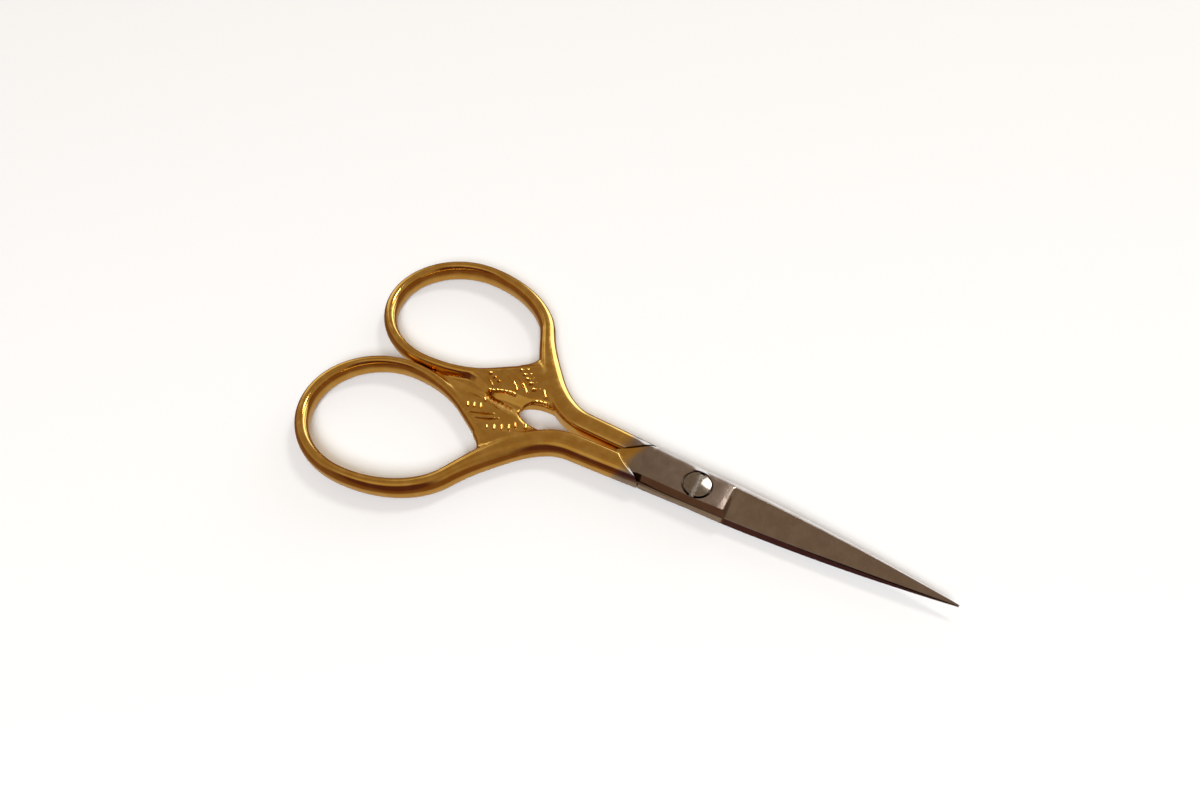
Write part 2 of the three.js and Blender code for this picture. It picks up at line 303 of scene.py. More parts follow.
# %% Handle bar
HANDLE_STEP, HANDLE_SIDES = 0.7, 48
front, shank_end, bow_start, bow_outer, bow_back, bow_inner, rim_at_bow, rim_at_arm = handle_stops
arm_middle = (shank_end + bow_start) / 2
bar_widths = [
    (front, SHANK_FRONT_WIDTH), (shank_end, SHANK_BACK_WIDTH), (arm_middle, ARM_WIDTH),
    (bow_start, ARM_ROOT_WIDTH), (bow_outer, BOW_OUTER_WIDTH), (bow_back, BOW_BACK_WIDTH),
    (bow_inner, BOW_INNER_WIDTH), (rim_at_bow, RIM_WIDTH), (rim_at_arm, RIM_WIDTH),
]
bar_heights = [
    (front, HANDLE_HEIGHT), (bow_outer, HANDLE_HEIGHT), (bow_back, BOW_BACK_HEIGHT),
    (bow_inner, BOW_INNER_HEIGHT), (rim_at_bow, RIM_HEIGHT), (rim_at_arm, RIM_FRONT_HEIGHT),
]
outer_squareness = [
    (front, 2.7), (shank_end, 2.5), (arm_middle, 2.3),
    (bow_start, 2.2), (bow_outer, 2.05), (rim_at_arm, 2.05),
]
inner_squareness = [
    (front, 4.5), (shank_end, 4.5), (arm_middle, 3.3),
    (bow_start, 2.7), (bow_outer, 2.7), (rim_at_arm, 2.5),
]
handle = straight_bar(
    "handle", rim_at_arm, HANDLE_STEP, bar_widths, bar_heights,
    outer_squareness, inner_squareness, HANDLE_SIDES,
)
finish_with(handle, "CURVE", object=handle_path, deform_axis="POS_X")
report(handle)

# %% [markdown]
# ## Web
# A thin web fills the corner between bow, arm and the plane where the two handles meet. On each face it has
# a raised panel, which ends in a curved ridge, and from the ridge the face falls in a hollow to the parting
# plane. Side by side the two halves leave a valley that starts in the fork of the bows and opens to the
# window. Stacked outline faces would give hard steps, so the web is one grid that is extruded into a slab,
# and its rows and columns are moved to the border and to the heights of the two faces. The two dies
# differ: the upper ridge runs straight on along the bow and falls gently, and the under ridge swings out
# towards the fork and falls steeply there. The web reaches past the parting plane, because it is trimmed
# there only after it is smoothed.


# %% Grid helper
def grid_slab(name, rows, columns, place):
    deselect()
    bpy.ops.mesh.primitive_grid_add(x_subdivisions=len(rows) - 1, y_subdivisions=len(columns) - 1, size=1)
    sheet = bpy.context.object
    sheet.name = name
    bpy.ops.object.mode_set(mode="EDIT")
    bpy.ops.mesh.select_all(action="SELECT")
    extrude(0, 0, -1)
    bpy.ops.object.mode_set(mode="OBJECT")
    for vertex in sheet.data.vertices:
        row = rows[round((vertex.co.x + 0.5) * (len(rows) - 1))]
        column = columns[round((vertex.co.y + 0.5) * (len(columns) - 1))]
        vertex.co = place(row, column, vertex.co.z > -0.5)
    face_outwards(sheet)
    return sheet


def spread(a, b, count):
    return [mix(a, b, i / count) for i in range(count)]


def linear(stops, place):
    for (a, start), (b, end) in zip(stops, stops[1:]):
        if place <= b:
            return mix(start, end, max(0, (place - a) / (b - a)))
    return stops[-1][1]


# %% Lines of the web
WINDOW_BACK, WINDOW_ROUND, WINDOW_HALF, WINDOW_LEDGE = -30.1, 3.8, 2.1, 0.7
FORK, WEB_FRONT, PARTING_TRIM = -46, -25.4, 0.4
upper_ridge = [
    (-41.6, 1.5), (-38, 1.15), (-36.2, 1.05), (-35.4, 1.3), (-32.4, 1.75), (-29.4, 1.95), (-27.2, 2.45),
]
under_ridge = [
    (-46, 0.6), (-44.7, 0.9), (-42, 1.6), (-40.6, 2.0), (-39.2, 2.05), (-37.9, 1.75), (-36.9, 1.3),
    (-36.2, 0.95), (-35.5, 1.1), (-34.6, 1.5), (-33.2, 1.9), (-29.9, 2.0), (-27.2, 1.9),
]
web_border = [bow_point(turn) for turn in spread(WEB_ANGLE, RIM_ANGLE, 12)] + [rim_start, rim_end]
web_border += [place for place in reversed(arm_points) if place.x > rim_end.x]
border_line = [(place.x, -place.y) for place in web_border]


def parting_side(x):
    if x < WINDOW_BACK:
        return -PARTING_TRIM
    past = max(0, 1 - (x - WINDOW_BACK) / WINDOW_ROUND)
    return WINDOW_HALF * math.sqrt(1 - past * past) - PARTING_FACE


def ridge_at(x, above):
    line = max(linear(upper_ridge if above else under_ridge, x), parting_side(x) + WINDOW_LEDGE)
    return min(line, linear(border_line, x))


print("web border", len(border_line), "points")

# %% Web
UPPER_FLOOR, FORK_FLOOR, UNDER_FLOOR, FOOT_LIMIT = 0.5, 0.8, 0.2, -0.01
FORK_FLOOR_STARTS, FORK_FLOOR_FULL = -34, -37
PANEL_RISE_STARTS, PANEL_RISE_FULL = 1.5, 6.5
UPPER_RUN, ROW_GAP = 1.6, 0.01
under_run = [(-40.5, 0.8), (-38.5, 1.2), (-36.9, 1.3), (-35.8, 1.5)]


def web_point(x, share, above):
    away = mix(parting_side(x), linear(border_line, x), share)
    ridge = ridge_at(x, above)
    foot = max(FOOT_LIMIT, ridge - (UPPER_RUN if above else linear(under_run, x)))
    floor = UNDER_FLOOR
    if above:
        floor = mix(UPPER_FLOOR, FORK_FLOOR, smooth(x, FORK_FLOOR_STARTS, FORK_FLOOR_FULL))
    rise = min(1, max(0, (away - foot) / (ridge - foot)))
    panel = WEB_FACE + WEB_RISE * smooth(away, PANEL_RISE_STARTS, PANEL_RISE_FULL)
    height = mix(floor, panel, rise)
    return x, -away, height if above else -height


web_rows = spread(FORK, WINDOW_BACK, 70) + [WINDOW_BACK - ROW_GAP]
web_rows += spread(WINDOW_BACK, WEB_FRONT, 24) + [WEB_FRONT]
web_columns = spread(0, 1, 30) + [1]
web = grid_slab("web", web_rows, web_columns, web_point)
report(web)

# %% [markdown]
# ## Gusset
# Beside the arm the web steps up to a broad gusset, nearly as high as the arm, from the rim to the window.
# Its faces are flat, so it is an outline face that is extruded once.


# %% Gusset
def slab(name, outline, low, high):
    deselect()
    bpy.ops.mesh.primitive_circle_add(vertices=len(outline), radius=1, fill_type="NGON")
    face = bpy.context.object
    face.name = name
    for vertex, place in zip(face.data.vertices, outline):
        vertex.co = place + Vector((0, 0, low))
    bpy.ops.object.mode_set(mode="EDIT")
    bpy.ops.mesh.select_all(action="SELECT")
    extrude(0, 0, high - low)
    bpy.ops.object.mode_set(mode="OBJECT")
    return face


def arm_at(share):
    return arm_points[round(share * (len(arm_points) - 1))]


GUSSET_FACE, GUSSET_ON_RIM, GUSSET_AT_WINDOW = 1.75, 4.3, Vector((-25.9, -3.4, 0))
gusset_outline = [rim_end + rim_run * GUSSET_ON_RIM, GUSSET_AT_WINDOW]
gusset_outline += [arm_at(share) for share in (0.1, 0.2, 0.3, 0.4)] + [rim_end]
gusset = slab("gusset", gusset_outline, -GUSSET_FACE, GUSSET_FACE)
report(gusset)

# %% [markdown]
# ## Corner fillet
# Where rim and arm meet, the finger opening has a rounded corner and not a sharp one. Smoothing alone would
# round it too little, so a short bar is bent across the corner, from the rim to the arm.

# %% Corner fillet
FILLET_REACH, FILLET_WIDTH, FILLET_HEIGHT, FILLET_STEP = 4.8, 2.2, 2.9, 0.3
arm_run = (bow_point(ARM_ANGLE) - rim_end).normalized()
on_rim, on_arm = rim_end + rim_run * FILLET_REACH, rim_end + arm_run * FILLET_REACH
fillet_knots = [
    (on_rim, on_rim, on_rim.lerp(rim_end, 0.7)),
    (on_arm, on_arm.lerp(rim_end, 0.7), on_arm),
]
fillet_path = draw_path("fillet_path", fillet_knots)
fillet_length = distances(fillet_knots)[-1]
fillet_size = [(0, FILLET_WIDTH)], [(0, FILLET_HEIGHT)]
fillet = straight_bar("fillet", fillet_length, FILLET_STEP, *fillet_size, SOFT_SQUARE, SOFT_SQUARE)
finish_with(fillet, "CURVE", object=fillet_path, deform_axis="POS_X")
report(fillet)

# %% [markdown]
# ## One forged handle
# Bar, web, gusset and fillet are joined. A voxel Remesh makes one skin of them, and a Smooth modifier rounds
# every inner corner as forging and polishing do. Bevels on the intersections would need clean edge loops
# that crossing bars don't have. Then what reaches past the plane where the handles meet is trimmed off.


# %% One forged handle
def cut(obj, tool):
    finish_with(obj, "BOOLEAN", operation="DIFFERENCE", object=tool, solver="MANIFOLD")


VOXEL, SOFTENING, TRIM_SIZE = 0.14, 22, 200
pick(handle, web, gusset, fillet)
bpy.ops.object.join()
face_outwards(handle)
finish_with(handle, "REMESH", mode="VOXEL", voxel_size=VOXEL)
finish_with(handle, "SMOOTH", factor=0.5, iterations=SOFTENING)
deselect()
bpy.ops.mesh.primitive_cube_add(size=TRIM_SIZE, location=(0, PARTING_FACE + TRIM_SIZE / 2, 0))
trimmer = bpy.context.object
trimmer.name = "parting_trimmer"
cut(handle, trimmer)
report(handle)

# %% [markdown]
# ## Shoulder
# In front of a slanting shoulder the shank is ground away to make room for the pivot plates. Beside the
# half's own plate the shoulder leans back in a narrow facet at 35 degrees, which is the bright diagonal line
# next to the plate. Beside the other half's plate it is upright, and a small flat is ground on the shank's
# outer corner there. A prism and a tilted cube are cut away with Boolean modifiers.

# %% Shoulder
PLATE_TOP, INNER_FACE = 1.6, 0.05
SHOULDER_APEX, SHOULDER_ANGLE, SHOULDER_FACET = 13.1, math.radians(35.4), math.radians(35)
outside = PLATE_TOP + HANDLE_HEIGHT
cutter_outline = [
    (0, PLATE_TOP), (-HANDLE_HEIGHT / math.tan(SHOULDER_FACET), outside), (SHOULDER_APEX, outside),
    (SHOULDER_APEX, -outside), (0, -outside),
]
cutter = slab("shoulder_cutter", [Vector((x, y, 0)) for x, y in cutter_outline], 0, 2 * SHOULDER_APEX)
face_outwards(cutter)
forward = Vector((math.sin(SHOULDER_ANGLE), math.cos(SHOULDER_ANGLE), 0))
upward = Vector((0, 0, 1))
along = forward.cross(upward)
start = Vector((-SHOULDER_APEX, 0, 0)) - along * SHOULDER_APEX
cutter.matrix_world = Matrix.Translation(start) @ Matrix((forward, upward, along)).transposed().to_4x4()
cut(handle, cutter)
report(handle)

# %% Flat on the shank's corner
FLAT_START, FLAT_TILT, FLAT_TURN = Vector((-10.6, -2.5, -1.93)), math.radians(25), math.radians(9)
deselect()
bpy.ops.mesh.primitive_cube_add(size=2, location=FLAT_START)
flat_cutter = bpy.context.object
flat_cutter.name = "flat_cutter"
flat_cutter.rotation_euler = (-FLAT_TILT, 0, FLAT_TURN)
flat_cutter.scale = (2, 2, 1)
tilted = Matrix.Rotation(FLAT_TURN, 3, "Z") @ Matrix.Rotation(-FLAT_TILT, 3, "X")
flat_cutter.location += tilted @ Vector((0, 0, -1))
bpy.context.view_layer.update()
cut(handle, flat_cutter)
report(handle)

# %% [markdown]
# ## Relief
# Both faces of each web carry a leaf-like relief: a row of three short bars near the bow, two long curved
# ribs with thick ends, a row of five short bars before the gusset, and a last one at the window. All are
# the bar tool again, tapered, and the ribs are bent along a short curve. A ray cast down to the web tells
# how high each form sits. A short bar's top falls by a few degrees along its length, as a punch leaves it,
# and this lean makes it glint under the lamp. The two dies differ a little: on the under face the rows are
# turned more, each bar of the five has a thin tail, and a string of beads follows the ridge and the
# window's rim.


# %% Relief helpers
ABOVE, BELOW = 1, -1
BAR_HEIGHT, RIB_HEIGHT, LOW_RIB, RELIEF_SINK, RELIEF_TOP = 0.8, 0.85, 0.45, 0.05, 1.92
BAR_STEP, RIB_STEP, RELIEF_SIDES, TIP_WIDTH = 0.1, 0.12, 16, 0.1
web_faces = BVHTree.FromObject(handle, bpy.context.evaluated_depsgraph_get())


def ground(x, y, side):
    place = web_faces.ray_cast(Vector((x, y, side * HANDLE_HEIGHT)), Vector((0, 0, -side)))[0]
    return (place.z if place else side * WEB_FACE) - side * RELIEF_SINK


def short_bar(centre, length, width, turn, side, fall):
    drop = 0.5 * length * math.tan(math.radians(fall))
    near, far = 0.2 * length, 0.8 * length
    widths = [(0, TIP_WIDTH), (near, width), (far, width), (length, TIP_WIDTH)]
    heights = [(0, 0.2), (near, BAR_HEIGHT + drop), (far, BAR_HEIGHT - drop), (length, 0.2)]
    bar = straight_bar("short_bar", length, BAR_STEP, widths, heights, sides=RELIEF_SIDES)
    back = Vector(centre) - Vector((math.cos(turn), math.sin(turn))) * length / 2
    bar.rotation_euler = (0, 0, turn)
    height = min(abs(ground(centre[0], centre[1], side)), RELIEF_TOP - (BAR_HEIGHT + drop) / 2)
    bar.location = (back.x, back.y, side * height)
    bpy.ops.object.transform_apply(location=True, rotation=True, scale=True)
    return bar


def rib(tail, bend, head, thick, side, height=RIB_HEIGHT):
    tail, bend, head = (Vector((x, y, 0)) for x, y in (tail, bend, head))
    path_knots = [(tail, tail, tail.lerp(bend, 0.67)), (head, head.lerp(bend, 0.67), head)]
    path = draw_path("rib_path", path_knots)
    length = distances(path_knots)[-1]
    widths = [(0, TIP_WIDTH), (0.3 * length, 0.3), (0.7 * length, thick)]
    widths += [(0.94 * length, thick), (length, TIP_WIDTH)]
    heights = [(0, 0.06), (0.3 * length, 0.6 * height), (0.6 * length, height)]
    heights += [(0.94 * length, 0.55 * height), (length, 0.1)]
    bar = straight_bar("rib", length, RIB_STEP, widths, heights, sides=RELIEF_SIDES)
    finish_with(bar, "CURVE", object=path, deform_axis="POS_X")
    bpy.data.objects.remove(path)
    for vertex in bar.data.vertices:
        above_web = side * (vertex.co.z + ground(vertex.co.x, vertex.co.y, side))
        vertex.co.z = side * min(above_web, RELIEF_TOP)
    return bar


def joined(forms):
    relief = pick(*forms)
    bpy.ops.object.join()
    face_outwards(relief)
    report(relief)
    return relief


# %% Relief of the upper face
STEEP, UPPER_FALL = math.radians(-58.5), 3.7
bow_row = [(-37.55, -3.4), (-36.6, -3.0), (-35.65, -2.65)]
upper_bars = [(centre, 1.1, 0.5) for centre in bow_row]
upper_bars += [(centre, 1.35, 0.52) for centre in ((-31.55, -5.3), (-30.55, -4.8), (-29.6, -4.2))]
upper_bars += [((-32.6, -5.75), 0.8, 0.4), ((-28.95, -3.4), 1.25, 0.46)]
upper_bars += [((-35.7, -1.35), 0.9, 0.6), ((-27.5, -2.85), 1.0, 0.75)]
upper_forms = [short_bar(*bar, STEEP, ABOVE, UPPER_FALL) for bar in upper_bars]
upper_forms += [
    rib((-37.3, -4.85), (-34.9, -4.0), (-32.8, -2.95), 0.4, ABOVE),
    rib((-35.9, -5.2), (-33.7, -4.85), (-31.8, -3.3), 0.4, ABOVE),
    rib((-30.2, -2.0), (-33, -1.8), (-35.8, -1.3), 0.34, ABOVE, LOW_RIB),
    rib((-39.5, -1.35), (-37.5, -1.15), (-35.6, -1.2), 0.34, ABOVE, LOW_RIB),
]
upper_relief = joined(upper_forms)

# %% Relief of the under face
SLANTED, UNDER_FALL = math.radians(-30), 16
LAST_TURN, LAST_FALL = math.radians(51), 5.5
TAIL_REACH, TAIL_START, TAIL_HEIGHT = 1.3, 0.55, 0.3
RIDGE_BEAD_SHIFT, RIM_BEAD_SHIFT, RIDGE_STEP = 0.2, 0.35, 0.3
under_forms = []
for centre, width in zip(bow_row, (0.65, 0.5, 0.45)):
    under_forms.append(short_bar(centre, 1.2 * width, width, SLANTED, BELOW, UNDER_FALL))
out = Vector((math.cos(SLANTED), math.sin(SLANTED))) * TAIL_REACH
for head in ((-33.3, -6.1), (-32.4, -5.55), (-31.6, -5.0), (-30.7, -4.5), (-29.75, -3.75)):
    tail, neck = Vector(head) + out, Vector(head) + out * TAIL_START
    under_forms.append(rib(tail, tail.lerp(neck, 0.5), neck, 0.4, BELOW, TAIL_HEIGHT))
    under_forms.append(short_bar(head, 1.05, 0.72, SLANTED, BELOW, UNDER_FALL))
under_forms += [
    rib((-35.9, -4.6), (-33.2, -3.9), (-32.05, -2.3), 0.55, BELOW),
    rib((-34.9, -5.3), (-31.9, -4.4), (-30.35, -2.4), 0.55, BELOW),
    rib((-38.3, -2.9), (-36.8, -2.3), (-36.0, -1.4), 0.4, BELOW),
    short_bar((-27.8, -3.7), 2.2, 0.62, LAST_TURN, BELOW, LAST_FALL),
]
for x in (-36.1, -35.5, -34.9, -34.3, -33.6, -32.9, -32.2, -28.3, -27.65, -27.0):
    turn = math.atan2(ridge_at(x, False) - ridge_at(x + RIDGE_STEP, False), RIDGE_STEP)
    inwards = RIM_BEAD_SHIFT if x > WINDOW_BACK else RIDGE_BEAD_SHIFT
    place = (x, inwards - ridge_at(x, False))
    under_forms.append(short_bar(place, 0.85, 0.72, turn, BELOW, UNDER_FALL))
under_relief = joined(under_forms)


# %% Unite web and relief
def unite(obj, part):
    finish_with(obj, "BOOLEAN", operation="UNION", object=part, solver="MANIFOLD")


unite(handle, upper_relief)
unite(handle, under_relief)
report(handle)

# %% [markdown]
# ## Pivot plate and blade
# The plate is flat on both faces and ends in a V behind the screw. In front of it a ground plunge leads
# down to the blade, which tapers to the tip: thick at the spine, thin at the slightly bowed cutting edge,
# with a hollow inner face. The bevel along the spine gets narrower as the blade does. The plate's long side
# leans in as forged sides do, and the back of the blade leans under, so both catch a line of light. A grid
# is extruded into a slab, and its rows and columns are moved to the outline and the heights that the ground
# faces have at each place.

# %% Blade outline
BLADE_REACH, TAPER_POWER, TIP_HALF = 38.89, 1.9, 0.08
PLATE_HALF, PLATE_REAR_HALF, PLATE_CORNER = 2.9, 3.25, 1.1
EDGE_SETBACK, EDGE_BOW = 0.15, 0.3
SHOULDER_GAP, SHOULDER_LAP = 0.05, 0.5

slope = math.tan(SHOULDER_ANGLE)
apex = -SHOULDER_APEX + SHOULDER_GAP / math.sin(SHOULDER_ANGLE)
corner = apex + PLATE_REAR_HALF / slope
edge_half = PLATE_HALF - EDGE_SETBACK
lap = SHOULDER_LAP / math.cos(SHOULDER_ANGLE)
lap_end = -SHOULDER_APEX + (edge_half - lap) / slope


def taper(x):
    return 1 - (max(x, 0) / BLADE_REACH) ** TAPER_POWER


def spine_line(x):
    if x < corner:
        return max(PARTING_FACE, (x - apex) * slope)
    if x < 0:
        return mix(PLATE_HALF, PLATE_REAR_HALF, x / corner)
    return mix(TIP_HALF, PLATE_HALF, taper(x))


def spine_side(x):
    near, far = corner - PLATE_CORNER, corner + PLATE_CORNER
    if not near < x < far:
        return spine_line(x)
    t = (x - near) / (far - near)
    return (1 - t) ** 2 * spine_line(near) + 2 * t * (1 - t) * PLATE_REAR_HALF + t * t * spine_line(far)


def edge_side(x):
    if x < lap_end:
        return -(x + SHOULDER_APEX) * slope - lap
    return mix(0, -edge_half, taper(x)) + EDGE_BOW * math.sin(math.pi * max(x, 0) / BLADE_REACH)


print("plate from", round(apex, 2), "blade to", BLADE_REACH)

# %% Rows and columns of the blade
PLUNGE_START, PLUNGE_END = 4.9, 5.6
SPINE = 2
rows = [-SHOULDER_APEX] + spread(apex, corner - PLATE_CORNER, 6)
rows += spread(corner - PLATE_CORNER, corner + PLATE_CORNER, 10) + spread(corner + PLATE_CORNER, 0, 4)
rows += spread(0, PLUNGE_START, 4) + spread(PLUNGE_START, PLUNGE_END, 20)
rows += spread(PLUNGE_END, BLADE_REACH, 60) + [BLADE_REACH]
rows = sorted(rows + [lap_end])
columns = [0, 0.04] + spread(0.1, 1, 18) + [1, SPINE]
print("blade rows", len(rows), "columns", len(columns))

# %% Blade
TIP_THICKNESS, EDGE_LAND, EDGE_DRAFT, HOLLOW = 0.17, 0.12, 0.42, 0.1
SPINE_BEVEL, SPINE_DROP, INNER_DROP, BACK_LEAN = 0.8, 0.34, 0.4, 0.5
BEVEL_RUN_IN, BEVEL_ON_V, BROKEN_EDGE = 0.8, 0.05, 0.04


def blade_point(x, column, above):
    spine, edge = spine_side(x), edge_side(x)
    along = max(0, (x - PLUNGE_START) / (BLADE_REACH - PLUNGE_START))
    top = INNER_FACE + mix(PLATE_TOP - INNER_FACE, TIP_THICKNESS, along)
    bevelled = mix(BEVEL_ON_V, 1, smooth(x, corner - BEVEL_RUN_IN, corner + BEVEL_RUN_IN))
    slender = min(1, (spine - edge) / (PLATE_HALF + edge_half))
    bevel = SPINE_BEVEL * slender * bevelled
    drop = SPINE_DROP * (top - INNER_FACE) / (PLATE_TOP - INNER_FACE) * bevelled
    share = min(column, 1)
    ground_away = smooth(x, PLUNGE_START, PLUNGE_END)
    inset = EDGE_DRAFT * smooth(x, lap_end, corner) * (1 - ground_away) if above else 0
    lean = 0 if above else BACK_LEAN * slender * ground_away
    y = spine - lean if column == SPINE else mix(edge + inset, spine - bevel, share)
    if above and column == SPINE:
        return x, y, top - drop
    if above:
        return x, y, mix(top, mix(INNER_FACE + EDGE_LAND, top, share), ground_away)
    across_share = (y - edge) / (spine - edge)
    z = INNER_FACE + HOLLOW * math.sin(math.pi * along) * 4 * across_share * (1 - across_share)
    if column == SPINE:
        z += INNER_DROP * smooth(x, corner, 0) * (1 - ground_away)
    return x, y, z


blade = grid_slab("blade", rows, columns, blade_point)
finish_with(
    blade, "BEVEL", width=BROKEN_EDGE, segments=1, limit_method="ANGLE", angle_limit=math.radians(28)
)
report(blade)

# %% [markdown]
# ## The two halves
# Handle and blade are one piece of steel, so they are united. The upper half is bored for the screw's plain
# shank and its sunk head, and a countersink breaks the bore's rim. The lower half is the same forging,
# turned half a turn about its length, with a smaller hole that holds the screw's thread.

# %% One forging, twice
unite(handle, blade)
pick(handle)
bpy.ops.object.duplicate()
upper, lower = handle, bpy.context.object
upper.name, lower.name = "upper_forging", "lower_forging"
report(upper)


# %% Bore the halves
def drill(name, radius, low, high):
    deselect()
    middle = (0, 0, (low + high) / 2)
    bpy.ops.mesh.primitive_cylinder_add(vertices=96, radius=radius, depth=high - low, location=middle)
    tool = bpy.context.object
    tool.name = name
    return tool


HEAD_RADIUS, HEAD_HEIGHT, HEAD_CROWN = 2.02, 0.7, 0.2
SHANK_RADIUS, TAIL_RADIUS = 1.4, 1.15
HEAD_PLAY, SEAT_PLAY, SHANK_PLAY, TAIL_PLAY = 0.22, 0.05, 0.05, 0.03
DRILL_REACH, COUNTERSINK, CONE_HEIGHT = 3, 2.37, 3
shank_drill = drill("shank_drill", SHANK_RADIUS + SHANK_PLAY, -DRILL_REACH, DRILL_REACH)
head_drill = drill("head_drill", HEAD_RADIUS + HEAD_PLAY, PLATE_TOP - HEAD_HEIGHT - SEAT_PLAY, DRILL_REACH)
deselect()
cone_middle = (0, 0, PLATE_TOP - COUNTERSINK + CONE_HEIGHT / 2)
bpy.ops.mesh.primitive_cone_add(
    vertices=96, radius1=0, radius2=CONE_HEIGHT, depth=CONE_HEIGHT, location=cone_middle
)
rim_drill = bpy.context.object
rim_drill.name = "rim_drill"
tail_drill = drill("tail_drill", TAIL_RADIUS + TAIL_PLAY, -DRILL_REACH, DRILL_REACH)
for tool in (shank_drill, head_drill, rim_drill):
    cut(upper, tool)
cut(lower, tail_drill)
report(upper)
report(lower)


# %% Put the halves in place
def set_in_place(obj, turn=0):
    pick(obj)
    obj.rotation_euler = (turn, 0, 0)
    obj.scale = (0.001, 0.001, 0.001)
    obj.location = PIVOT
    bpy.ops.object.transform_apply(location=True, rotation=True, scale=True)
    bpy.ops.object.shade_smooth_by_angle(angle=math.radians(30))
    report(obj)


set_in_place(upper)
set_in_place(lower, math.pi)

# %% [markdown]
# ## Pivot screw
# A short turned screw with a flat slotted head, sunk flush into the upper plate. One circle is extruded and
# resized up the axis: thread end, shank, head and the shallow crown. The slot is cut with a Boolean, and a
# small Bevel softens the rims as use and polishing do.

# %% Turn the screw
deselect()
screw_end = (0, 0, -PLATE_TOP)
bpy.ops.mesh.primitive_circle_add(vertices=96, radius=TAIL_RADIUS, fill_type="NGON", location=screw_end)
screw = bpy.context.object
screw.name = "slotted_screw"
bpy.ops.object.transform_apply(location=True, rotation=False, scale=False)
head_seat = PLATE_TOP - HEAD_HEIGHT
turned = [(TAIL_RADIUS, 0), (SHANK_RADIUS, 0), (SHANK_RADIUS, head_seat)]
turned += [(HEAD_RADIUS, head_seat), (HEAD_RADIUS, PLATE_TOP)]
for share in spread(0.9, 0, 9):
    turned.append((HEAD_RADIUS * share, PLATE_TOP + HEAD_CROWN * (1 - share ** 2)))
bpy.ops.object.mode_set(mode="EDIT")
bpy.ops.mesh.select_all(action="SELECT")
radius, height = TAIL_RADIUS, -PLATE_TOP
for wide, high in turned:
    extrude(0, 0, high - height)
    bpy.ops.transform.resize(value=(wide / radius, wide / radius, 1), center_override=(0, 0, high))
    radius, height = wide, high
face_outwards(screw)
report(screw)

# %% Slot and rims of the screw
SLOT_TURN, SLOT_LIFT = (math.radians(4), 0, math.radians(88.5)), 0.05
SLOT_LENGTH, SLOT_WIDTH, SLOT_HEIGHT, SOFT_RIM = 6, 0.72, 0.9, 0.05
deselect()
bpy.ops.mesh.primitive_cube_add(size=1, location=(0, 0, PLATE_TOP + SLOT_LIFT), rotation=SLOT_TURN)
slot = bpy.context.object
slot.name = "slot_cutter"
slot.scale = (SLOT_LENGTH, SLOT_WIDTH, SLOT_HEIGHT)
bpy.ops.object.transform_apply(location=False, rotation=False, scale=True)
cut(screw, slot)
finish_with(screw, "BEVEL", width=SOFT_RIM, segments=1, limit_method="ANGLE", angle_limit=math.radians(40))
set_in_place(screw)

# %% Clear the tools away
kept = [upper, lower, screw, *frame["nodes"].values()]
for obj in list(scene.objects):
    if obj.type in ("MESH", "CURVE") and obj not in kept:
        bpy.data.objects.remove(obj)

# %% [markdown]
# ## Finishes as expressions
# A finish is a node tree. Written node by node it is long to read, so one small class wraps a socket and
# lets plain arithmetic add the Math nodes, and one method makes any other node: its type, its settings
# and then the values or links of its sockets.


# %% Finish helper
class Wire:
    def __init__(self, finish, socket):
        self.finish, self.socket = finish, socket

    def sum(self, operation, first, second):
        return self.finish.make("ShaderNodeMath", {"operation": operation}, {0: first, 1: second})

    def __add__(self, other):
        return self.sum("ADD", self, other)

    def __sub__(self, other):
        return self.sum("SUBTRACT", self, other)

    def __rsub__(self, other):
        return self.sum("SUBTRACT", other, self)

    def __mul__(self, other):
        return self.sum("MULTIPLY", self, other)

    __radd__, __rmul__ = __add__, __mul__


class Finish:
    def __init__(self, owner):
        self.owner = owner
        owner.use_nodes = True
        self.tree = owner.node_tree
        self.tree.nodes.clear()

    def make(self, kind, settings, sockets, output=0):
        node = self.tree.nodes.new(kind)
        for name, value in settings.items():
            setattr(node, name, value)
        for name, value in sockets.items():
            if isinstance(value, Wire):
                self.tree.links.new(value.socket, node.inputs[name])
            else:
                node.inputs[name].default_value = value
        return Wire(self, node.outputs[output]) if node.outputs else None

    def parts(self, vector, count=3):
        return [self.make("ShaderNodeSeparateXYZ", {}, {0: vector}, i) for i in range(count)]

    def noise(self, place, scale, detail=2, stretch=(1, 1, 1)):
        place = self.make("ShaderNodeMapping", {}, {"Vector": place, "Scale": stretch})
        return self.make("ShaderNodeTexNoise", {}, {"Vector": place, "Scale": scale, "Detail": detail})

    def ramp(self, value, low, high, start=0, end=1):
        kind = {"interpolation_type": "SMOOTHSTEP"}
        return self.make("ShaderNodeMapRange", kind, {0: value, 1: low, 2: high, 3: start, 4: end})

    def blend(self, share, first, second):
        return self.make("ShaderNodeMix", {"data_type": "RGBA"}, {0: share, 6: first, 7: second}, 2)

    def millimetres(self):
        place = self.make("ShaderNodeTexCoord", {}, {}, 3)
        centre = [-1000 * v for v in PIVOT]
        sockets = {"Vector": place, "Location": centre, "Scale": (1000, 1000, 1000)}
        return self.make("ShaderNodeMapping", {}, sockets)

    # Painted shade: the ambient occlusion share, which darkens the colour in creases and hollows.
    def occlusion_shade(self, reach):
        return self.make("ShaderNodeAmbientOcclusion", {"samples": 8}, {"Distance": reach}, 1)

    def surface(self, sockets):
        shader = self.make("ShaderNodeBsdfPrincipled", {}, sockets)
        self.make("ShaderNodeOutputMaterial", {}, {"Surface": shader})
        return self.owner
